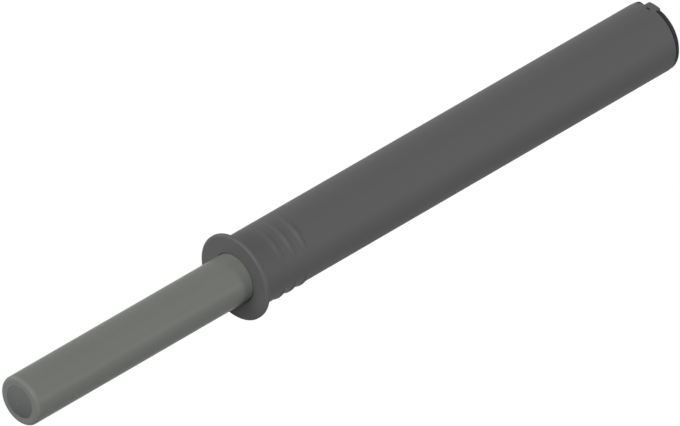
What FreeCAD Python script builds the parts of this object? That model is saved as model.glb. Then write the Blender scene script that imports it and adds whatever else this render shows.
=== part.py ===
"""Drill-in touch latch: a tubular housing with a sprung plunger that latches and releases when pressed.

All lengths are in millimetres. The latch lies along X with its plunger pointing to -X. The origin is
the centre of the back of the flange, the face that seats on the cabinet. Angles are turned about +X
from straight up, towards -Y.
"""
import math
import os

import FreeCAD
import Part

# Housing, the tube that goes into the drilled hole
HOUSING_DIAMETER = 9.8
HOUSING_LENGTH = 74.6
MAIN_BORE = 8.2
GUIDE_DEPTH = 6.0
RIM_CHAMFER = 0.15
FLANGE_DIAMETER = 11.95
FLANGE_THICKNESS = 0.7
FLANGE_BEVEL_WIDTH = 0.25
FLANGE_BEVEL_DEPTH = 0.18
FLANGE_BACK_CHAMFER = 0.22

# Shallow crescent ridges that grip the wall of the drilled hole
RIDGE_COUNT = 3
RIDGE_FIRST = 3.83
RIDGE_PITCH = 1.98
RIDGE_WIDTH = 1.1
RIDGE_CREST = 0.2
RIDGE_HEIGHT = 0.15
RIDGE_FADE_ANGLE = 45.0
RIDGE_SECTORS = (27.0, 147.0, 267.0)

# Keyways in the bore that keep the carriage from turning
KEYWAY_WIDTH = 1.6
KEYWAY_DEPTH = 0.3
KEY_ANGLES = (90.0, 270.0)

# Tabs at the rear of the housing, with a window in front of each for a lug of the cap
TAB_ANGLES = (2.5, 182.5)
TAB_SPAN = 23.5
TAB_LENGTH = 0.7
WINDOW_WIDTH = 0.6
WINDOW_LENGTH = 0.3
WINDOW_SETBACK = 0.4

# End cap
CAP_DISC_THICKNESS = 0.87
CAP_DISC_INSET = 0.05
CAP_DISC_CHAMFER = 0.42
CAP_PLUG_LENGTH = 2.6
CAP_NOTCH_BEFORE = 31.0
CAP_NOTCH_AFTER = 13.0
CAP_LUG_HEIGHT = 0.55
CAP_GATE_DIAMETER = 1.2
CAP_GATE_DEPTH = 0.2

# Plunger and the soft bumper in its tip
PLUNGER_DIAMETER = 6.8
PLUNGER_REACH = 37.8
PLUNGER_WALL = 0.8
PLUNGER_TIP_ROUND = 0.5
PLUNGER_NOSE = 4.0
BUMPER_DIAMETER = 4.4
BUMPER_HEAD = 1.1
BUMPER_DOME = 0.45
BUMPER_STEM_DIAMETER = 2.0
BUMPER_STEM_LENGTH = 1.6

# Travels
STROKE = 36.0
LATCH_RETURN = 1.5
TOOTH_TRAVEL = 0.85
GAP_ADJUST_IN = 1.0

# Carriage, which the plunger screws into
CARRIAGE_DIAMETER = 8.0
CARRIAGE_SOCKET = 8.0
CARRIAGE_WEB = 1.0
CARRIAGE_CHAMFER = 0.15

# Latch ring and the retainer that closes its pocket
RING_LENGTH = 2.6
RING_BORE = 5.0
PEG_COUNT = 3
PEG_WIDTH = 1.2
PEG_LENGTH = 1.2
RETAINER_PLUG = 1.5
RETAINER_FLANGE_DIAMETER = 7.8
RETAINER_FLANGE = 0.7
RETAINER_SPIGOT_DIAMETER = 6.0
RETAINER_SPIGOT = 0.8
SNAP_BEAD_WIDTH = 0.4
SNAP_BEAD_HEIGHT = 0.15

# Latch rod, fixed in the cap, with the track that the pegs of the ring follow
ROD_DIAMETER = 3.0
CAM_DIAMETER = 4.7
CAM_HEAD_LENGTH = 3.5
CAM_SLOPE = 32.0
LANE_WIDTH = 1.5
CROWN_LENGTH = 3.8
ROD_TAIL_DIAMETER = 3.8
ROD_NOSE_DIAMETER = 1.8
ROD_NOSE_LENGTH = 1.6
ROD_BASE_DIAMETER = 5.8
ROD_BASE = 0.8
ROD_PIN_LENGTH = 2.0

# Main spring
SPRING_WIRE = 0.55
SPRING_MEAN_DIAMETER = 6.8
SPRING_TURNS = 22

# Clearances, all measured on the radius or on one side
GUIDE_CLEARANCE = 0.1
THREAD_CLEARANCE = 0.05
RING_CLEARANCE = 0.05
CAM_CLEARANCE = 0.25
PEG_CLEARANCE = 0.15
TRACK_CLEARANCE = 0.05
AXIAL_CLEARANCE = 0.1
STOP_CLEARANCE = 0.05
FIXED_CLEARANCE = 0.03

# How far the cutters of the track run past its ends
OVERRUN = 1.0

# Radii
housing_r = HOUSING_DIAMETER / 2
bore_r = MAIN_BORE / 2
keyway_r = bore_r + KEYWAY_DEPTH
flange_r = FLANGE_DIAMETER / 2
plunger_r = PLUNGER_DIAMETER / 2
plunger_bore_r = plunger_r - PLUNGER_WALL
guide_r = plunger_r + GUIDE_CLEARANCE
cap_plug_r = bore_r - FIXED_CLEARANCE
carriage_r = CARRIAGE_DIAMETER / 2
socket_r = plunger_r + THREAD_CLEARANCE
cam_r = CAM_DIAMETER / 2
cam_pass_r = cam_r + CAM_CLEARANCE
rod_r = ROD_DIAMETER / 2
ring_r = socket_r - RING_CLEARANCE
peg_r = rod_r + PEG_CLEARANCE
bumper_r = BUMPER_DIAMETER / 2
recess_r = bumper_r + FIXED_CLEARANCE

# Places along X at rest, with the plunger fully out
flange_front = -FLANGE_THICKNESS
tip_x = flange_front - PLUNGER_REACH
dome_x = tip_x - BUMPER_DOME
rim_x = HOUSING_LENGTH
rear_x = rim_x + CAP_DISC_THICKNESS
window_rear = rim_x - WINDOW_SETBACK
cap_seat_x = rim_x - CAP_PLUG_LENGTH
carriage_front = GUIDE_DEPTH + STOP_CLEARANCE
web_front = carriage_front + CARRIAGE_SOCKET
pocket_front = web_front + CARRIAGE_WEB
ring_front = pocket_front + AXIAL_CLEARANCE
ring_middle = ring_front + RING_LENGTH / 2
retainer_front = ring_front + RING_LENGTH + AXIAL_CLEARANCE
carriage_rear = retainer_front + RETAINER_PLUG
retainer_rear = carriage_rear + RETAINER_FLANGE
plunger_rear = web_front - GAP_ADJUST_IN - AXIAL_CLEARANCE

# Places in the track, from the ends of the pegs at the latched and at the fully pressed travel
slope = math.tan(math.radians(CAM_SLOPE))
peg_lean = PEG_WIDTH / 2 * slope
peg_front = ring_middle - PEG_LENGTH / 2 - peg_lean
peg_rear = ring_middle + PEG_LENGTH / 2 + peg_lean
peg_stop_side = PEG_WIDTH / 2 + TRACK_CLEARANCE
notch_x = peg_front + STROKE - LATCH_RETURN - TRACK_CLEARANCE
valley_x = peg_rear + STROKE + TOOTH_TRAVEL + TRACK_CLEARANCE
tooth_angle = 180.0 / PEG_COUNT
tooth_rise = (rod_r + cam_r) / 2 * math.radians(tooth_angle) * slope
head_front = notch_x - CAM_HEAD_LENGTH
head_rear = notch_x + tooth_rise
crown_front = valley_x - tooth_rise
crown_rear = crown_front + CROWN_LENGTH
cutter_start = rod_r / 2
cutter_end = 2 * cam_r

ORIGIN = FreeCAD.Vector(0, 0, 0)
AXIS = FreeCAD.Vector(1, 0, 0)


def outline(corners):
    """Closed wire in the XZ plane through (x, z) corners; a third number rounds that corner."""
    entries = []
    exits = []
    arcs = []
    for i, corner in enumerate(corners):
        following = corners[(i + 1) % len(corners)]
        here = FreeCAD.Vector(corner[0], 0, corner[1])
        back = FreeCAD.Vector(corners[i - 1][0], 0, corners[i - 1][1]) - here
        ahead = FreeCAD.Vector(following[0], 0, following[1]) - here
        arc = None
        entry = here
        leave = here
        if len(corner) == 3:
            half = back.getAngle(ahead) / 2
            back.normalize()
            ahead.normalize()
            entry = here + back * (corner[2] / math.tan(half))
            leave = here + ahead * (corner[2] / math.tan(half))
            inward = (back + ahead).normalize()
            middle = here + inward * (corner[2] / math.sin(half) - corner[2])
            arc = Part.Arc(entry, middle, leave).toShape()
        entries.append(entry)
        exits.append(leave)
        arcs.append(arc)
    edges = []
    for i, leave in enumerate(exits):
        if arcs[i]:
            edges.append(arcs[i])
        edges.append(Part.makeLine(leave, entries[(i + 1) % len(entries)]))
    return Part.Wire(edges)


def turned(corners):
    """Solid of revolution about the X axis from an outline of (x, radius) corners."""
    return Part.Face(outline(corners)).revolve(ORIGIN, AXIS, 360)


def rod_between(x0, x1, radius):
    """Plain round bar along X."""
    return Part.makeCylinder(radius, x1 - x0, FreeCAD.Vector(x0, 0, 0), AXIS)


def at_angle(shape, angle):
    """The shape turned about X from straight up to an angle."""
    return shape.rotated(ORIGIN, AXIS, angle)


def sector(x0, x1, r0, r1, angle, before, after):
    """Piece of a ring from x0 to x1 and r0 to r1, that spans an angle from before to after it."""
    corners = [(x0, r0), (x0, r1), (x1, r1), (x1, r0)]
    piece = Part.Face(outline(corners)).revolve(ORIGIN, AXIS, before + after)
    return at_angle(piece, angle - before)


def radial_prism(corners, angle, start, end):
    """Prism that points away from the axis; corners are (x, distance sideways as the angle grows)."""
    points = [FreeCAD.Vector(x, -side, start) for x, side in corners]
    face = Part.Face(Part.makePolygon(points + points[:1]))
    return at_angle(face.extrude(FreeCAD.Vector(0, 0, end - start)), angle)


def slot(x0, x1, width, angle, start, end):
    """Straight-sided radial prism, for slots, keys and windows."""
    half = width / 2
    corners = [(x0, -half), (x1, -half), (x1, half), (x0, half)]
    return radial_prism(corners, angle, start, end)


def crescent(x, angle):
    """Disc with sloped flanks set off centre, so that it stands out of the tube over one sector."""
    peak = housing_r + RIDGE_HEIGHT
    fade = math.cos(math.radians(RIDGE_FADE_ANGLE))
    offset = (peak**2 - housing_r**2) / (2 * (peak - housing_r * fade))
    half = RIDGE_WIDTH / 2
    top = peak - offset
    shoulder = top - RIDGE_HEIGHT
    crest = RIDGE_CREST / 2
    disc = turned([
        (x - half, 0),
        (x - half, shoulder),
        (x - crest, top),
        (x + crest, top),
        (x + half, shoulder),
        (x + half, 0),
    ])
    disc.translate(FreeCAD.Vector(0, 0, offset))
    return at_angle(disc, angle)


def housing():
    """Flanged tube with grip ridges, a guide for the plunger, keyways, and tabs round the cap."""
    body = turned([
        (flange_front, 0),
        (flange_front, flange_r - FLANGE_BEVEL_WIDTH),
        (flange_front + FLANGE_BEVEL_DEPTH, flange_r),
        (-FLANGE_BACK_CHAMFER, flange_r),
        (0, flange_r - FLANGE_BACK_CHAMFER),
        (0, housing_r),
        (rim_x - RIM_CHAMFER, housing_r),
        (rim_x, housing_r - RIM_CHAMFER),
        (rim_x, 0),
    ])
    ridges = []
    for angle in RIDGE_SECTORS:
        for i in range(RIDGE_COUNT):
            ridges.append(crescent(RIDGE_FIRST + i * RIDGE_PITCH, angle))
    tabs = []
    for angle in TAB_ANGLES:
        tab_rear = rim_x + TAB_LENGTH
        tabs.append(sector(window_rear, tab_rear, bore_r, housing_r, angle, TAB_SPAN / 2, TAB_SPAN / 2))
    body = body.fuse(ridges + tabs)
    cuts = [
        rod_between(flange_front, GUIDE_DEPTH, guide_r),
        rod_between(GUIDE_DEPTH, rear_x, bore_r),
    ]
    for angle in KEY_ANGLES:
        cuts.append(slot(GUIDE_DEPTH, rim_x, KEYWAY_WIDTH, angle, 0, keyway_r))
    window_front = window_rear - WINDOW_LENGTH
    for angle in TAB_ANGLES:
        cuts.append(slot(window_front, window_rear, WINDOW_WIDTH, angle, bore_r / 2, flange_r))
    return body.cut(cuts).removeSplitter()


def end_cap():
    """Disc that closes the rear, with a plug, two snap lugs, two keys and a socket for the rod."""
    disc_r = housing_r - CAP_DISC_INSET
    cap = turned([
        (cap_seat_x, 0),
        (cap_seat_x, cap_plug_r),
        (rim_x, cap_plug_r),
        (rim_x, disc_r),
        (rear_x - CAP_DISC_CHAMFER, disc_r),
        (rear_x, disc_r - CAP_DISC_CHAMFER),
        (rear_x, 0),
    ])
    key_width = KEYWAY_WIDTH - 2 * FIXED_CLEARANCE
    key_r = keyway_r - FIXED_CLEARANCE
    keys = [slot(cap_seat_x, rim_x, key_width, angle, cap_plug_r / 2, key_r) for angle in KEY_ANGLES]
    lug_rear = window_rear - FIXED_CLEARANCE
    lug_front = lug_rear - WINDOW_LENGTH + 2 * FIXED_CLEARANCE
    lug_width = WINDOW_WIDTH - 2 * FIXED_CLEARANCE
    lug_r = cap_plug_r + CAP_LUG_HEIGHT
    lugs = [slot(lug_front, lug_rear, lug_width, angle, cap_plug_r / 2, lug_r) for angle in TAB_ANGLES]
    cap = cap.fuse(keys + lugs)
    cuts = [
        rod_between(cap_seat_x, cap_seat_x + ROD_PIN_LENGTH, rod_r + FIXED_CLEARANCE),
        rod_between(rear_x - CAP_GATE_DEPTH, rear_x, CAP_GATE_DIAMETER / 2),
    ]
    for angle in TAB_ANGLES:
        before = CAP_NOTCH_BEFORE
        after = CAP_NOTCH_AFTER
        cuts.append(sector(rim_x, rear_x, cap_plug_r, flange_r, angle, before, after))
    return cap.cut(cuts).removeSplitter()


def plunger():
    """Hollow round plunger with a closed nose, a recess for the bumper and a threaded rear end."""
    inner_end = tip_x + PLUNGER_NOSE
    body = turned([
        (tip_x, 0),
        (tip_x, plunger_r, PLUNGER_TIP_ROUND),
        (plunger_rear, plunger_r),
        (plunger_rear, plunger_bore_r),
        (inner_end, plunger_bore_r),
        (inner_end, 0),
    ])
    recess_end = tip_x + BUMPER_HEAD
    stem_r = BUMPER_STEM_DIAMETER / 2
    recess = rod_between(tip_x, recess_end, recess_r)
    hole = rod_between(tip_x, recess_end + BUMPER_STEM_LENGTH, stem_r)
    return body.cut([recess, hole]).removeSplitter()


def tip_bumper():
    """Soft bumper that stands out of the tip as a low dome, with a stem pressed into the plunger."""
    recess_end = tip_x + BUMPER_HEAD
    stem_end = recess_end + BUMPER_STEM_LENGTH
    stem_r = BUMPER_STEM_DIAMETER / 2
    sphere_r = (bumper_r**2 + BUMPER_DOME**2) / (2 * BUMPER_DOME)
    angle = math.asin(bumper_r / sphere_r) / 2
    apex = FreeCAD.Vector(dome_x, 0, 0)
    middle = FreeCAD.Vector(dome_x + sphere_r * (1 - math.cos(angle)), 0, sphere_r * math.sin(angle))
    points = [
        FreeCAD.Vector(tip_x, 0, bumper_r),
        FreeCAD.Vector(recess_end, 0, bumper_r),
        FreeCAD.Vector(recess_end, 0, stem_r),
        FreeCAD.Vector(stem_end, 0, stem_r),
        FreeCAD.Vector(stem_end, 0, 0),
        apex,
    ]
    edges = [Part.Arc(apex, middle, points[0]).toShape()]
    for start, end in zip(points, points[1:]):
        edges.append(Part.makeLine(start, end))
    return Part.Face(Part.Wire(edges)).revolve(ORIGIN, AXIS, 360)


def carriage():
    """Keyed sleeve that slides in the bore, with a socket for the plunger and a pocket for the ring."""
    body = turned([
        (carriage_front, socket_r),
        (carriage_front, carriage_r - CARRIAGE_CHAMFER),
        (carriage_front + CARRIAGE_CHAMFER, carriage_r),
        (carriage_rear, carriage_r),
        (carriage_rear, socket_r),
        (pocket_front, socket_r),
        (pocket_front, cam_pass_r),
        (web_front, cam_pass_r),
        (web_front, socket_r),
    ])
    key_width = KEYWAY_WIDTH - 2 * GUIDE_CLEARANCE
    key_r = keyway_r - GUIDE_CLEARANCE
    key_root = (socket_r + carriage_r) / 2
    keys = []
    for angle in KEY_ANGLES:
        keys.append(slot(carriage_front, carriage_rear, key_width, angle, key_root, key_r))
    bead_x = (retainer_front + carriage_rear) / 2
    groove_r = socket_r + SNAP_BEAD_HEIGHT
    groove = rod_between(bead_x - SNAP_BEAD_WIDTH / 2, bead_x + SNAP_BEAD_WIDTH / 2, groove_r)
    return body.fuse(keys).cut(groove).removeSplitter()


def ring_retainer():
    """Snap-in collar that keeps the ring in its pocket and gives the spring its front seat."""
    plug_r = socket_r - FIXED_CLEARANCE
    bead_r = plug_r + SNAP_BEAD_HEIGHT
    bead_x = (retainer_front + carriage_rear) / 2
    bead_half = SNAP_BEAD_WIDTH / 2 - FIXED_CLEARANCE
    spigot_rear = retainer_rear + RETAINER_SPIGOT
    return turned([
        (retainer_front, cam_pass_r),
        (retainer_front, plug_r),
        (bead_x - bead_half, plug_r),
        (bead_x, bead_r),
        (bead_x + bead_half, plug_r),
        (carriage_rear, plug_r),
        (carriage_rear, RETAINER_FLANGE_DIAMETER / 2),
        (retainer_rear, RETAINER_FLANGE_DIAMETER / 2),
        (retainer_rear, RETAINER_SPIGOT_DIAMETER / 2),
        (spigot_rear, RETAINER_SPIGOT_DIAMETER / 2),
        (spigot_rear, cam_pass_r),
    ])


def latch_ring():
    """Free-turning ring with slanted pegs that reach into the track of the rod."""
    ring_rear = ring_front + RING_LENGTH
    bore = RING_BORE / 2
    ring = rod_between(ring_front, ring_rear, ring_r).cut(rod_between(ring_front, ring_rear, bore))
    peg_root = (bore + ring_r) / 2
    side = PEG_WIDTH / 2
    half = PEG_LENGTH / 2
    corners = [
        (ring_middle - half + peg_lean, -side),
        (ring_middle + half - peg_lean, -side),
        (peg_rear, side),
        (peg_front, side),
    ]
    pegs = []
    for i in range(PEG_COUNT):
        pegs.append(radial_prism(corners, i * 2 * tooth_angle, 0, peg_root))
    pegs = Part.makeCompound(pegs).cut(rod_between(ring_front, ring_rear, peg_r))
    return ring.fuse(pegs).removeSplitter()


def latch_rod():
    """Fixed rod with three guide lanes, a latching notch between them and a crown that turns the ring."""
    base_front = cap_seat_x - ROD_BASE
    core = turned([
        (head_front - ROD_NOSE_LENGTH, 0),
        (head_front - ROD_NOSE_LENGTH, ROD_NOSE_DIAMETER / 2),
        (head_front, rod_r),
        (crown_rear, rod_r),
        (crown_rear, ROD_TAIL_DIAMETER / 2),
        (base_front, ROD_TAIL_DIAMETER / 2),
        (base_front, ROD_BASE_DIAMETER / 2),
        (cap_seat_x, ROD_BASE_DIAMETER / 2),
        (cap_seat_x, rod_r),
        (cap_seat_x + ROD_PIN_LENGTH, rod_r),
        (cap_seat_x + ROD_PIN_LENGTH, 0),
    ])
    cuts = []
    for i in range(PEG_COUNT):
        lane = i * 2 * tooth_angle
        cuts.append(slot(head_front, head_rear, LANE_WIDTH, lane, 0, cutter_end))
        cuts.extend(island_cuts(lane + tooth_angle))
    head = rod_between(head_front, head_rear, cam_r).cut(cuts)
    cuts = [crown_cut((i + 0.5) * tooth_angle) for i in range(2 * PEG_COUNT)]
    crown = rod_between(crown_front, crown_rear, cam_r).cut(cuts)
    return core.fuse([head, crown]).removeSplitter()


def island_cuts(angle):
    """Cutters for one island: a pointed front, and a rear face of two slopes with the notch between."""
    side = cam_r
    first = notch_x + (side + peg_stop_side) * slope
    second = notch_x + tooth_rise - (side - peg_stop_side) * slope
    beyond = head_rear + OVERRUN
    rear = [
        (first, -side),
        (notch_x, peg_stop_side),
        (notch_x + tooth_rise, peg_stop_side),
        (second, side),
        (beyond, side),
        (beyond, -side),
    ]
    reach = head_front + side * slope
    ahead = head_front - OVERRUN
    front = [(head_front, 0), (reach, side), (ahead, side), (ahead, -side), (reach, -side)]
    return [radial_prism(corners, angle, cutter_start, cutter_end) for corners in (rear, front)]


def crown_cut(angle):
    """Cutter for one tooth of the crown: a slope that ends at a wall on the far side of the peg."""
    run = tooth_rise / slope
    ahead = crown_front - OVERRUN
    corners = [
        (valley_x, peg_stop_side),
        (crown_front, peg_stop_side - run),
        (ahead, peg_stop_side - run),
        (ahead, peg_stop_side),
    ]
    return radial_prism(corners, angle, cutter_start, cutter_end)


def spring():
    """Sleeve on the mean coil of the main spring, with as much steel in it as the wire."""
    mean_r = SPRING_MEAN_DIAMETER / 2
    front = retainer_rear + STOP_CLEARANCE
    rear = cap_seat_x - STOP_CLEARANCE
    wire_volume = math.pi * SPRING_WIRE**2 / 4 * math.pi * SPRING_MEAN_DIAMETER * SPRING_TURNS
    wall = wire_volume / (math.pi * SPRING_MEAN_DIAMETER * (rear - front))
    outer = rod_between(front, rear, mean_r + wall / 2)
    return outer.cut(rod_between(front, rear, mean_r - wall / 2))


NODES = {
    "housing": housing,
    "end_cap": end_cap,
    "latch_rod": latch_rod,
    "spring": spring,
    "carriage": carriage,
    "ring_retainer": ring_retainer,
    "latch_ring": latch_ring,
    "plunger": plunger,
    "tip_bumper": tip_bumper,
}


def main():
    """Build each piece and write it to its own STEP file."""
    os.makedirs("parts", exist_ok=True)
    for name, build in NODES.items():
        shape = build()
        if len(shape.Solids) != 1 or not shape.isValid():
            raise RuntimeError(name + " is not one valid solid")
        shape.Solids[0].exportStep("parts/" + name + ".step")
        print(name, "volume", round(shape.Volume, 2))


main()
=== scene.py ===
"""Looks of the drill-in touch latch: moulded plastics, wound main spring, stage, lamps and camera.

Everything is in metres, in the frame of the CAD model: the latch lies along X, its plunger points
to -X, and the origin is the centre of the back of the flange.
"""
import math

import bpy
import numpy as np
from mathutils import Matrix, Vector


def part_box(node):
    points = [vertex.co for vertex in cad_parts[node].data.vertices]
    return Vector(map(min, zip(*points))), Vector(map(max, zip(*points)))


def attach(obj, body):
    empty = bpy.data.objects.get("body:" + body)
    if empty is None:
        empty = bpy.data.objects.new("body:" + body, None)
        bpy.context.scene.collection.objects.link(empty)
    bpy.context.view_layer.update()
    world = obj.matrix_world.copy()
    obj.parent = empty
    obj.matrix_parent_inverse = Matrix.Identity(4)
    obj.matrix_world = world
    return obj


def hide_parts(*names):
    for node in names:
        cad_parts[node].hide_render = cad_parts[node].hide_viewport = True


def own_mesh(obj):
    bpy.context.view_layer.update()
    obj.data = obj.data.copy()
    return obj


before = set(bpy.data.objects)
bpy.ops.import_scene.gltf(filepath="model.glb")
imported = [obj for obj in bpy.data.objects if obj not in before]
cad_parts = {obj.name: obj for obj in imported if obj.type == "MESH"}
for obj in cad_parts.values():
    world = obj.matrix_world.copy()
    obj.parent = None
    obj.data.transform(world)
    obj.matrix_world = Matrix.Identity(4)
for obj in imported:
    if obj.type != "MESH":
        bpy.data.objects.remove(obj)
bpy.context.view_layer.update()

bl_info = {
    "name": "Touch latch",
    "version": (1, 0, 0),
    "blender": (4, 5, 0),
    "location": "View3D > Sidebar > Touch latch",
    "description": "Finishes a drill-in touch latch and sets up its stage",
    "category": "Object",
}

MM = 0.001
LAMPS = ("key", "tip", "back", "sheen")

# Width of the camera's sensor in millimetres, and how many times nearer or further away than the
# latch the camera still sees
SENSOR_WIDTH = 36
DEPTH_FACTOR = 10

# How often the patterns of the surfaces repeat, per metre or per length of wire
CLOUDS_PER_METRE = 240.0
FLOW_PER_METRE = (90.0, 700.0, 700.0)
DIE_LINES = (60.0, 40.0, 1.0)

# How many finer layers the noise of each pattern has, and how strong they are in the grain
CLOUD_DETAIL = 3.0
FLOW_DETAIL = 2.0
GRAIN_DETAIL = 1.5
GRAIN_ROUGHNESS = 0.6
DIE_LINE_DETAIL = 4.0

# Steps of the spring's surface, along one turn and round the wire
STEPS_PER_TURN = 36
STEPS_ROUND_WIRE = 12

# What a surface group gives the shader, and the distance between nodes in the shader editor
SURFACE_OUTPUTS = (
    ("Colour", "NodeSocketColor"),
    ("Roughness", "NodeSocketFloat"),
    ("Height", "NodeSocketFloat"),
)
NODE_STEP = 170

# Place of the spring, which comes from the imported model
spring_low, spring_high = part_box("spring")


def colour_property(name, description, default):
    """Colour swatch with linear values."""
    return bpy.props.FloatVectorProperty(
        name=name, description=description, default=default, subtype="COLOR", size=3, min=0, max=1
    )


def length_property(name, description, default):
    """Length in metres, shown in the units of the scene."""
    return bpy.props.FloatProperty(
        name=name, description=description, default=default, unit="LENGTH", precision=6, min=0
    )


def share_property(name, description, default):
    """Number from nought to one."""
    return bpy.props.FloatProperty(
        name=name, description=description, default=default, subtype="FACTOR", min=0, max=1
    )


def angle_property(name, description, degrees):
    """Angle, given here in degrees."""
    return bpy.props.FloatProperty(
        name=name, description=description, default=math.radians(degrees), subtype="ANGLE"
    )


def strength_property(name, description, default):
    """Strength of a lamp, as the brightness that it gives a white surface that faces it."""
    return bpy.props.FloatProperty(name=name, description=description, default=default, min=0)


def direction_property(lamp, default):
    """Direction to a lamp, in the frame of the latch."""
    return bpy.props.FloatVectorProperty(
        name=f"{lamp} towards",
        description="Direction to this lamp",
        default=default,
        subtype="DIRECTION",
        size=3,
    )


def spread_property(lamp, degrees):
    """Apparent size of a lamp, given here in degrees."""
    return angle_property(f"{lamp} spread", "Apparent size of this lamp", degrees)


class TouchLatchPlastics(bpy.types.PropertyGroup):
    """Colours and gloss of the moulded pieces"""

    housing: colour_property("Housing", "Dust grey of the flanged tube", (0.0845, 0.0845, 0.0845))
    plunger: colour_property("Plunger", "Mid grey of the plunger", (0.145, 0.152, 0.141))
    bumper: colour_property("Bumper", "Cool grey of the soft bumper", (0.102, 0.1055, 0.1065))
    # Painted shade: this near-black is set dark enough that the band round the rear rim shows the
    # shade that falls there
    cap_painted_shade: colour_property("Cap", "Black of the rear cap", (0.026, 0.026, 0.026))
    carriage: colour_property("Carriage", "Light grey of the carriage", (0.26, 0.26, 0.25))
    acetal: colour_property("Acetal", "Natural acetal of the rod and the ring", (0.72, 0.71, 0.66))
    housing_roughness: share_property(
        "Housing roughness", "Roughness of the housing and the cap", 0.54
    )
    plunger_roughness: share_property("Plunger roughness", "Roughness of the plunger", 0.37)
    bumper_roughness: share_property("Bumper roughness", "Roughness of the soft bumper", 0.75)
    inner_roughness: share_property("Inner roughness", "Roughness of the mouldings inside", 0.4)
    housing_gleam: share_property(
        "Housing gleam", "Strength of the reflections on the housing", 0.13
    )
    gleam: share_property("Gleam", "Strength of the reflections on the other outer mouldings", 0.07)
    inner_gleam: share_property(
        "Inner gleam", "Strength of the reflections on the mouldings inside", 0.4
    )
    clouding: share_property("Clouding", "How far the colour varies from place to place", 0.05)
    patchiness: share_property(
        "Patchiness", "How far the roughness varies from place to place", 0.12
    )
    grain: length_property(
        "Grain", "Size of one grain of the spark-eroded mould surface", 0.16 * MM
    )
    grain_depth: length_property("Grain depth", "Height of that grain", 0.003 * MM)


class TouchLatchSpring(bpy.types.PropertyGroup):
    """Sizes and finish of the main spring"""

    wire: length_property("Wire", "Diameter of the spring wire", 0.55 * MM)
    mean_diameter: length_property(
        "Mean diameter", "Diameter of the coil on its centre line", 6.8 * MM
    )
    turns: bpy.props.IntProperty(
        name="Turns", description="All turns of the coil", default=22, min=4
    )
    closed_turns: bpy.props.FloatProperty(
        name="Closed turns",
        description="Turns that lie on each other at each end",
        default=1.5,
        min=0,
    )
    steel: colour_property("Steel", "Colour of the drawn wire", (0.56, 0.56, 0.57))
    roughness: share_property("Roughness", "Roughness of the drawn wire", 0.3)
    lines: share_property("Die lines", "How strongly the die lines show", 0.5)
    line_depth: length_property("Line depth", "Depth of the die lines", 0.004 * MM)


class TouchLatchStage(bpy.types.PropertyGroup):
    """Camera, lamps and floor"""

    lens: bpy.props.FloatProperty(
        name="Lens", description="Focal length of the camera", default=1000, unit="CAMERA"
    )
    frame_width: length_property("Frame width", "Width of the frame at the latch", 86.27 * MM)
    aim: bpy.props.FloatVectorProperty(
        name="Aim",
        description="Point that the camera looks at",
        default=(0.0183, 0.00002, 0.00052),
        subtype="TRANSLATION",
        unit="LENGTH",
        precision=6,
    )
    roll: angle_property("Roll", "Turn of the camera about its line of sight", -0.04)
    floor_drop: length_property("Floor drop", "How far the floor lies below the latch", 0.22)
    floor_size: length_property("Floor size", "Side of the square floor", 2.4)
    floor_bounce: share_property(
        "Floor bounce", "Share of the light that the floor throws back", 0.25
    )
    floor_white: share_property(
        "Floor white", "How far the floor looks white whatever falls on it", 0.85
    )
    ambient: share_property("Ambient", "Brightness of the surroundings that light the latch", 0.1)
    key: strength_property("Key", "Strength of the key lamp, above the front", 0.755)
    key_towards: direction_property("Key", (-0.212, -0.566, 0.797))
    key_spread: spread_property("Key", 20)
    tip: strength_property("Tip lamp", "Strength of the lamp in front of the tip", 0.65)
    tip_towards: direction_property("Tip lamp", (-0.968, 0.004, 0.249))
    tip_spread: spread_property("Tip lamp", 20)
    back: strength_property("Back lamp", "Strength of the low lamp behind the latch", 0.512)
    back_towards: direction_property("Back lamp", (-0.144, 0.927, 0.345))
    back_spread: spread_property("Back lamp", 20)
    sheen: strength_property("Sheen lamp", "Strength of the lamp that the flanks mirror", 0.221)
    sheen_towards: direction_property("Sheen lamp", (0.504, -0.859, 0.088))
    sheen_spread: spread_property("Sheen lamp", 12)


# Mesh and node helpers


def grid_mesh(name, points, wrap_around, cap_ends):
    """Mesh of quads on a grid of points of shape (along, around, 3).

    wrap_around closes the second direction on itself, and cap_ends closes the first with a polygon
    at each end. Corner numbers are worked out for the whole grid at once. A UV map runs from 0 to 1
    along and around; where a face closes the round, its last corners get 1 in place of 0.
    """
    along, around = points.shape[:2]
    index = np.arange(along * around).reshape(along, around)
    following = np.roll(index, -1, axis=1)
    if not wrap_around:
        index, following = index[:, :-1], following[:, :-1]
    quads = np.stack([index[:-1], following[:-1], following[1:], index[1:]], axis=-1).reshape(-1, 4)
    faces = quads.tolist()
    if cap_ends:
        faces.append(np.arange(around)[::-1].tolist())
        faces.append((np.arange(around) + (along - 1) * around).tolist())
    mesh = bpy.data.meshes.new(name)
    mesh.from_pydata(points.reshape(-1, 3).tolist(), [], faces)
    corners = np.zeros(len(mesh.loops), np.int32)
    mesh.loops.foreach_get("vertex_index", corners)
    row, column = np.divmod(corners, around)
    uv = np.stack([row / (along - 1), column / around], axis=-1).astype(np.float32)
    if wrap_around:
        of_quads = column[: quads.size]
        closing = (of_quads.reshape(-1, 4) == around - 1).any(axis=1)
        uv[np.flatnonzero((of_quads == 0) & np.repeat(closing, 4)), 1] = 1
    layer = mesh.uv_layers.new(name="along_and_around")
    layer.data.foreach_set("uv", uv.ravel())
    mesh.update()
    return mesh


def shown(name, mesh):
    """New object at the origin that shows a mesh."""
    piece = bpy.data.objects.new(name, mesh)
    bpy.context.scene.collection.objects.link(piece)
    return piece


def new_node(tree, kind, place, **inputs):
    """Shader node of a kind at a place in the tree, with values for its sockets by name."""
    made = tree.nodes.new(kind)
    made.location = place
    for socket, value in inputs.items():
        made.inputs[socket.replace("_", " ")].default_value = value
    return made


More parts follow.
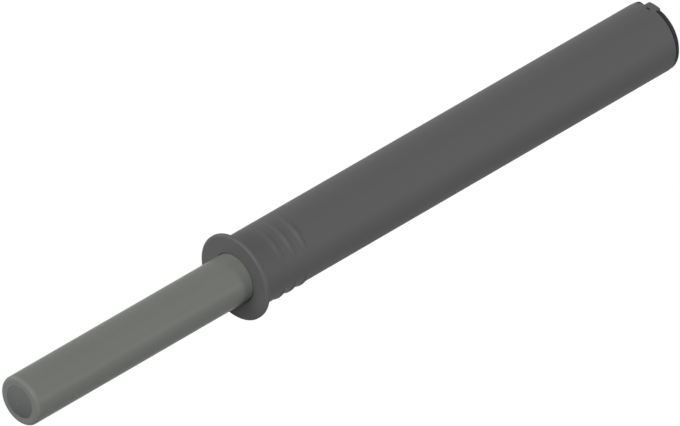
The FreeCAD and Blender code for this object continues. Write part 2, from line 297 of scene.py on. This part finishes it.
def math_node(tree, operation, place, first, second):
    """Math node; each input is a number or a socket to link."""
    made = tree.nodes.new("ShaderNodeMath")
    made.operation = operation
    made.location = place
    for socket, value in zip(made.inputs, (first, second)):
        if isinstance(value, (int, float)):
            socket.default_value = value
        else:
            tree.links.new(value, socket)
    return made.outputs[0]


def surface_group(name, inputs):
    """Empty shader node group with named float or colour inputs and the outputs of a surface."""
    tree = bpy.data.node_groups.new(name, "ShaderNodeTree")
    for socket, kind in inputs:
        tree.interface.new_socket(socket, in_out="INPUT", socket_type=kind)
    for socket, kind in SURFACE_OUTPUTS:
        tree.interface.new_socket(socket, in_out="OUTPUT", socket_type=kind)
    start = new_node(tree, "NodeGroupInput", (-900, 0))
    end = new_node(tree, "NodeGroupOutput", (700, 0))
    return tree, start.outputs, end.inputs


def noise_factor(tree, place, amount, noise):
    """One plus amount times the noise's distance from its middle."""
    x, y = place
    centred = math_node(tree, "SUBTRACT", (x, y), noise, 0.5)
    swing = math_node(tree, "MULTIPLY", (x + NODE_STEP, y), centred, amount)
    return math_node(tree, "ADD", (x + 2 * NODE_STEP, y), swing, 1.0)


def varied_number(tree, place, value, amount, noise):
    """Number times the factor of a noise."""
    x, y = place
    factor = noise_factor(tree, place, amount, noise)
    return math_node(tree, "MULTIPLY", (x + 3 * NODE_STEP, y), value, factor)


def varied_colour(tree, place, colour, amount, noise):
    """Colour times the factor of a noise."""
    x, y = place
    scaled = new_node(tree, "ShaderNodeVectorMath", (x + 3 * NODE_STEP, y))
    scaled.operation = "SCALE"
    tree.links.new(colour, scaled.inputs[0])
    tree.links.new(noise_factor(tree, place, amount, noise), scaled.inputs["Scale"])
    return scaled.outputs["Vector"]


def moulded_surface():
    """Node group for moulded plastic: cloudy colour, patchy gloss and the mould's fine grain."""
    if "moulded_surface" in bpy.data.node_groups:
        return bpy.data.node_groups["moulded_surface"]
    tree, given, result = surface_group(
        "moulded_surface",
        [
            ("Colour", "NodeSocketColor"),
            ("Clouding", "NodeSocketFloat"),
            ("Roughness", "NodeSocketFloat"),
            ("Patchiness", "NodeSocketFloat"),
            ("Grain per metre", "NodeSocketFloat"),
        ],
    )
    place = new_node(tree, "ShaderNodeTexCoord", (-900, 400)).outputs["Object"]
    clouds = new_node(
        tree, "ShaderNodeTexNoise", (-700, 300), Scale=CLOUDS_PER_METRE, Detail=CLOUD_DETAIL
    )
    stretch = new_node(tree, "ShaderNodeMapping", (-900, 620), Scale=FLOW_PER_METRE)
    flow = new_node(tree, "ShaderNodeTexNoise", (-700, 620), Scale=1.0, Detail=FLOW_DETAIL)
    grain = new_node(
        tree, "ShaderNodeTexNoise", (-700, -200), Detail=GRAIN_DETAIL, Roughness=GRAIN_ROUGHNESS
    )
    tree.links.new(place, clouds.inputs["Vector"])
    tree.links.new(place, stretch.inputs["Vector"])
    tree.links.new(stretch.outputs["Vector"], flow.inputs["Vector"])
    tree.links.new(place, grain.inputs["Vector"])
    tree.links.new(given["Grain per metre"], grain.inputs["Scale"])
    both = math_node(tree, "ADD", (-520, 450), clouds.outputs["Fac"], flow.outputs["Fac"])
    mean = math_node(tree, "MULTIPLY", (-360, 450), both, 0.5)
    tint = varied_colour(tree, (-200, 450), given["Colour"], given["Clouding"], mean)
    tree.links.new(tint, result["Colour"])
    patches = clouds.outputs["Fac"]
    rough = varied_number(tree, (-200, 100), given["Roughness"], given["Patchiness"], patches)
    tree.links.new(rough, result["Roughness"])
    tree.links.new(grain.outputs["Fac"], result["Height"])
    return tree


def drawn_surface():
    """Node group for drawn wire: fine die lines that follow the wire, read from its UV map."""
    if "drawn_surface" in bpy.data.node_groups:
        return bpy.data.node_groups["drawn_surface"]
    tree, given, result = surface_group(
        "drawn_surface",
        [
            ("Colour", "NodeSocketColor"),
            ("Roughness", "NodeSocketFloat"),
            ("Lines", "NodeSocketFloat"),
        ],
    )
    place = new_node(tree, "ShaderNodeUVMap", (-900, 300))
    place.uv_map = "along_and_around"
    stretch = new_node(tree, "ShaderNodeMapping", (-720, 300), Scale=DIE_LINES)
    noise = new_node(tree, "ShaderNodeTexNoise", (-520, 300), Scale=1.0, Detail=DIE_LINE_DETAIL)
    tree.links.new(place.outputs["UV"], stretch.inputs["Vector"])
    tree.links.new(stretch.outputs["Vector"], noise.inputs["Vector"])
    lines = noise.outputs["Fac"]
    tint = varied_colour(tree, (-300, 300), given["Colour"], given["Lines"], lines)
    tree.links.new(tint, result["Colour"])
    rough = varied_number(tree, (-300, 60), given["Roughness"], given["Lines"], lines)
    tree.links.new(rough, result["Roughness"])
    tree.links.new(lines, result["Height"])
    return tree


def surface_material(name, group, values, bump, **constants):
    """Material whose colour, roughness and height come from a group; constants go to the shader."""
    material = bpy.data.materials.new(name)
    material.use_nodes = True
    tree = material.node_tree
    shader = tree.nodes["Principled BSDF"]
    source = tree.nodes.new("ShaderNodeGroup")
    source.node_tree = group
    source.location = (-500, 200)
    for socket, value in values.items():
        source.inputs[socket].default_value = value
    relief = new_node(tree, "ShaderNodeBump", (-250, -150), Strength=1.0, Distance=bump)
    tree.links.new(source.outputs["Height"], relief.inputs["Height"])
    tree.links.new(relief.outputs["Normal"], shader.inputs["Normal"])
    tree.links.new(source.outputs["Colour"], shader.inputs["Base Color"])
    tree.links.new(source.outputs["Roughness"], shader.inputs["Roughness"])
    for socket, value in constants.items():
        shader.inputs[socket.replace("_", " ")].default_value = value
    return material


def plastic(name, colour, roughness, gleam):
    """Moulded plastic in a colour, with the grain of the mould."""
    chosen = bpy.context.scene.touch_latch_plastics
    values = {
        "Colour": (*colour, 1.0),
        "Clouding": chosen.clouding,
        "Roughness": roughness,
        "Patchiness": chosen.patchiness,
        "Grain per metre": 1.0 / chosen.grain,
    }
    return surface_material(
        name, moulded_surface(), values, chosen.grain_depth, Specular_IOR_Level=gleam
    )


def finish_nodes(material, *names):
    """Gives CAD nodes a material and leaves their meshes as they are."""
    for name in names:
        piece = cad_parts[name]
        if not piece.material_slots:
            piece.data.materials.append(material)
        for holder in piece.material_slots:
            holder.material = material


class TOUCHLATCH_OT_housing(bpy.types.Operator):
    """Finish the flanged housing in satin dust-grey plastic"""

    bl_idname = "touch_latch.housing"
    bl_label = "Housing"

    def execute(self, context):
        chosen = context.scene.touch_latch_plastics
        material = plastic(
            "housing_plastic", chosen.housing, chosen.housing_roughness, chosen.housing_gleam
        )
        finish_nodes(material, "housing")
        return {"FINISHED"}


class TOUCHLATCH_OT_end_cap(bpy.types.Operator):
    """Finish the rear end in near-black plastic, whose darkness is painted shade for the rounded
    rear rim
    """

    bl_idname = "touch_latch.end_cap"
    bl_label = "End cap"

    def execute(self, context):
        chosen = context.scene.touch_latch_plastics
        # Painted shade: the near-black colour stands in for the shade on the rounded rear rim
        material = plastic("cap_plastic", chosen.cap_painted_shade, chosen.housing_roughness, chosen.gleam)
        finish_nodes(material, "end_cap")
        return {"FINISHED"}


class TOUCHLATCH_OT_plunger(bpy.types.Operator):
    """Finish the plunger in satin mid-grey plastic"""

    bl_idname = "touch_latch.plunger"
    bl_label = "Plunger"

    def execute(self, context):
        chosen = context.scene.touch_latch_plastics
        material = plastic(
            "plunger_plastic", chosen.plunger, chosen.plunger_roughness, chosen.gleam
        )
        finish_nodes(material, "plunger")
        return {"FINISHED"}


class TOUCHLATCH_OT_bumper(bpy.types.Operator):
    """Finish the bumper in the tip in smooth soft plastic"""

    bl_idname = "touch_latch.bumper"
    bl_label = "Bumper"

    def execute(self, context):
        chosen = context.scene.touch_latch_plastics
        material = plastic("bumper_rubber", chosen.bumper, chosen.bumper_roughness, chosen.gleam)
        finish_nodes(material, "tip_bumper")
        return {"FINISHED"}


class TOUCHLATCH_OT_carriage(bpy.types.Operator):
    """Finish the carriage and its retainer in light grey plastic"""

    bl_idname = "touch_latch.carriage"
    bl_label = "Carriage and retainer"

    def execute(self, context):
        chosen = context.scene.touch_latch_plastics
        material = plastic(
            "carriage_plastic", chosen.carriage, chosen.inner_roughness, chosen.inner_gleam
        )
        finish_nodes(material, "carriage", "ring_retainer")
        return {"FINISHED"}


class TOUCHLATCH_OT_track(bpy.types.Operator):
    """Finish the latch rod and the latch ring in natural acetal"""

    bl_idname = "touch_latch.track"
    bl_label = "Rod and ring"

    def execute(self, context):
        chosen = context.scene.touch_latch_plastics
        material = plastic(
            "natural_acetal", chosen.acetal, chosen.inner_roughness, chosen.inner_gleam
        )
        finish_nodes(material, "latch_rod", "latch_ring")
        return {"FINISHED"}


def coil_surface(wire, mean_diameter, turns, closed_turns, start, end):
    """Points of a wound spring on a grid along the wire and around it.

    The centre line goes round the X axis at the mean radius, while its x rises by one wire for
    each closed turn at the ends and evenly over the turns between. That rise is averaged over about
    half a turn, so the wire has no kink. Round each point of the line lies a circle of the wire's
    radius, spanned by the direction away from the axis and the one square to that and to the wire.
    """
    turn = np.linspace(0, turns, turns * STEPS_PER_TURN + 1)
    closed_rise = closed_turns * wire
    length = end - start - wire
    knots = [0, closed_turns, turns - closed_turns, turns]
    rises = [0, closed_rise, length - closed_rise, length]
    x = start + wire / 2 + np.interp(turn, knots, rises)
    weights = np.hanning(STEPS_PER_TURN // 2)
    margin = len(weights) // 2
    padded = np.pad(x, margin, mode="reflect", reflect_type="odd")
    x = np.convolve(padded, weights / weights.sum(), mode="same")[margin:-margin]
    angle = turn * 2 * np.pi
    outward = np.stack([np.zeros_like(angle), np.cos(angle), np.sin(angle)], axis=-1)
    centre = outward * mean_diameter / 2
    centre[:, 0] = x
    heading = np.gradient(centre, axis=0)
    heading /= np.linalg.norm(heading, axis=1, keepdims=True)
    across = np.cross(heading, outward)
    round_angle = np.arange(STEPS_ROUND_WIRE) / STEPS_ROUND_WIRE * 2 * np.pi
    circle = outward[:, None, :] * np.cos(round_angle)[None, :, None]
    circle = circle + across[:, None, :] * np.sin(round_angle)[None, :, None]
    return centre[:, None, :] + circle * wire / 2


class TOUCHLATCH_OT_spring(bpy.types.Operator):
    """Wind the main spring in place of its plain sleeve"""

    bl_idname = "touch_latch.spring"
    bl_label = "Main spring"

    def execute(self, context):
        chosen = context.scene.touch_latch_spring
        points = coil_surface(
            chosen.wire,
            chosen.mean_diameter,
            chosen.turns,
            chosen.closed_turns,
            spring_low.x,
            spring_high.x,
        )
        mesh = grid_mesh("main_spring", points, wrap_around=True, cap_ends=True)
        mesh.shade_smooth()
        piece = shown("main_spring", mesh)
        values = {
            "Colour": (*chosen.steel, 1.0),
            "Roughness": chosen.roughness,
            "Lines": chosen.lines,
        }
        steel = surface_material(
            "spring_steel", drawn_surface(), values, chosen.line_depth, Metallic=1.0
        )
        mesh.materials.append(steel)
        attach(piece, "housing")
        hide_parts("spring")
        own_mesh(piece)
        return {"FINISHED"}


def background_rays(tree, place):
    """One for the rays that see the background itself: camera, glossy and transmission rays."""
    x, y = place
    rays = new_node(tree, "ShaderNodeLightPath", (x, y)).outputs
    seen = math_node(tree, "ADD", (x + NODE_STEP, y), rays["Is Camera Ray"], rays["Is Glossy Ray"])
    return math_node(tree, "ADD", (x + 2 * NODE_STEP, y), seen, rays["Is Transmission Ray"])


def surroundings(ambient):
    """World that shows white behind the latch and in its gloss, and lights it evenly."""
    world = bpy.data.worlds.new("surroundings")
    world.use_nodes = True
    tree = world.node_tree
    background = tree.nodes["Background"]
    seen = background_rays(tree, (-900, 300))
    level = math_node(tree, "MAXIMUM", (-250, 300), seen, ambient)
    level = math_node(tree, "MINIMUM", (-80, 300), level, 1.0)
    background.inputs["Color"].default_value = (1, 1, 1, 1)
    tree.links.new(level, background.inputs["Strength"])
    bpy.context.scene.world = world


def floor_material(bounce, white_share):
    """Pale floor that shows as white, keeps a soft shadow, and throws back a share of the light."""
    material = bpy.data.materials.new("pale_floor")
    material.use_nodes = True
    tree = material.node_tree
    tree.nodes.remove(tree.nodes["Principled BSDF"])
    output = tree.nodes["Material Output"]
    seen = background_rays(tree, (-900, 300))
    seen = math_node(tree, "MINIMUM", (-450, 300), seen, 1.0)
    share = math_node(tree, "MULTIPLY", (-300, 300), seen, white_share)
    pale = new_node(tree, "ShaderNodeBsdfDiffuse", (-300, 0))
    tree.links.new(math_node(tree, "MAXIMUM", (-450, 100), seen, bounce), pale.inputs["Color"])
    white = new_node(tree, "ShaderNodeEmission", (-300, -200), Color=(1, 1, 1, 1), Strength=1.0)
    mixed = new_node(tree, "ShaderNodeMixShader", (0, 100))
    tree.links.new(share, mixed.inputs[0])
    tree.links.new(pale.outputs[0], mixed.inputs[1])
    tree.links.new(white.outputs[0], mixed.inputs[2])
    tree.links.new(mixed.outputs[0], output.inputs["Surface"])
    return material


def sun_lamp(name, strength, towards, spread):
    """Broad lamp far away, in the direction towards it, with its apparent size.

    Its energy is the light that falls on a surface facing it. A white surface looks as bright as
    that light over pi, so the strength is multiplied by pi.
    """
    data = bpy.data.lights.new(name, "SUN")
    data.energy = strength * math.pi
    data.angle = spread
    lamp = bpy.data.objects.new(name, data)
    lamp.rotation_mode = "QUATERNION"
    lamp.rotation_quaternion = Vector(towards).to_track_quat("Z", "Y")
    bpy.context.scene.collection.objects.link(lamp)


def isometric_camera(lens, frame_width, aim, roll):
    """Camera that looks at a point along a cube's diagonal, from the tip's side and from above.

    It stands as far away as makes the frame as wide as given at that point.
    """
    data = bpy.data.cameras.new("camera")
    data.sensor_width = SENSOR_WIDTH
    data.lens = lens
    distance = frame_width * lens / SENSOR_WIDTH
    data.clip_start = distance / DEPTH_FACTOR
    data.clip_end = distance * DEPTH_FACTOR
    right = Vector((1, -1, 0)).normalized()
    up = Vector((1, 1, 2)).normalized()
    back = Vector((-1, -1, 1)).normalized()
    upright = Matrix((right, up, back)).transposed()
    camera = bpy.data.objects.new("camera", data)
    camera.rotation_mode = "QUATERNION"
    camera.rotation_quaternion = (upright @ Matrix.Rotation(roll, 3, "Z")).to_quaternion()
    camera.location = Vector(aim) + back * distance
    bpy.context.scene.collection.objects.link(camera)
    return camera


class TOUCHLATCH_OT_stage(bpy.types.Operator):
    """Set up the floor, the surroundings, the lamps and the camera"""

    bl_idname = "touch_latch.stage"
    bl_label = "Stage"

    def execute(self, context):
        scene = context.scene
        chosen = scene.touch_latch_stage
        scene.view_settings.view_transform = "Standard"
        surroundings(chosen.ambient)
        half = chosen.floor_size / 2
        side = np.array([-half, half])
        x, y = np.meshgrid(side, side, indexing="ij")
        points = np.stack([x, y, np.full_like(x, -chosen.floor_drop)], axis=-1)
        floor = shown("floor", grid_mesh("floor", points, wrap_around=False, cap_ends=False))
        floor.data.flip_normals()
        floor.data.materials.append(floor_material(chosen.floor_bounce, chosen.floor_white))
        for name in LAMPS:
            strength = getattr(chosen, name)
            towards = getattr(chosen, f"{name}_towards")
            spread = getattr(chosen, f"{name}_spread")
            sun_lamp(f"{name}_lamp", strength, towards, spread)
        scene.camera = isometric_camera(chosen.lens, chosen.frame_width, chosen.aim, chosen.roll)
        return {"FINISHED"}


OPERATORS = (
    TOUCHLATCH_OT_stage,
    TOUCHLATCH_OT_housing,
    TOUCHLATCH_OT_end_cap,
    TOUCHLATCH_OT_plunger,
    TOUCHLATCH_OT_bumper,
    TOUCHLATCH_OT_carriage,
    TOUCHLATCH_OT_track,
    TOUCHLATCH_OT_spring,
)


class TOUCHLATCH_PT_sidebar(bpy.types.Panel):
    """Buttons and settings of the touch latch"""

    bl_idname = "TOUCHLATCH_PT_sidebar"
    bl_label = "Touch latch"
    bl_space_type = "VIEW_3D"
    bl_region_type = "UI"
    bl_category = "Touch latch"

    def draw(self, context):
        for operator in OPERATORS:
            self.layout.operator(operator.bl_idname)
        for settings in GROUPS:
            group = getattr(context.scene, settings)
            box = self.layout.box()
            for name in group.__annotations__:
                box.prop(group, name)


GROUPS = {
    "touch_latch_plastics": TouchLatchPlastics,
    "touch_latch_spring": TouchLatchSpring,
    "touch_latch_stage": TouchLatchStage,
}


def register():
    """Makes the settings, the operators and the panel known to Blender."""
    for name, group in GROUPS.items():
        bpy.utils.register_class(group)
        setattr(bpy.types.Scene, name, bpy.props.PointerProperty(type=group))
    for operator in OPERATORS:
        bpy.utils.register_class(operator)
    bpy.utils.register_class(TOUCHLATCH_PT_sidebar)


def unregister():
    """Takes them away again."""
    bpy.utils.unregister_class(TOUCHLATCH_PT_sidebar)
    for operator in reversed(OPERATORS):
        bpy.utils.unregister_class(operator)
    for name, group in reversed(GROUPS.items()):
        delattr(bpy.types.Scene, name)
        bpy.utils.unregister_class(group)


def main():
    """Dresses the latch."""
    register()
    bpy.ops.touch_latch.stage()
    bpy.ops.touch_latch.housing()
    bpy.ops.touch_latch.end_cap()
    bpy.ops.touch_latch.plunger()
    bpy.ops.touch_latch.bumper()
    bpy.ops.touch_latch.carriage()
    bpy.ops.touch_latch.track()
    bpy.ops.touch_latch.spring()


if __name__ == "__main__":
    main()
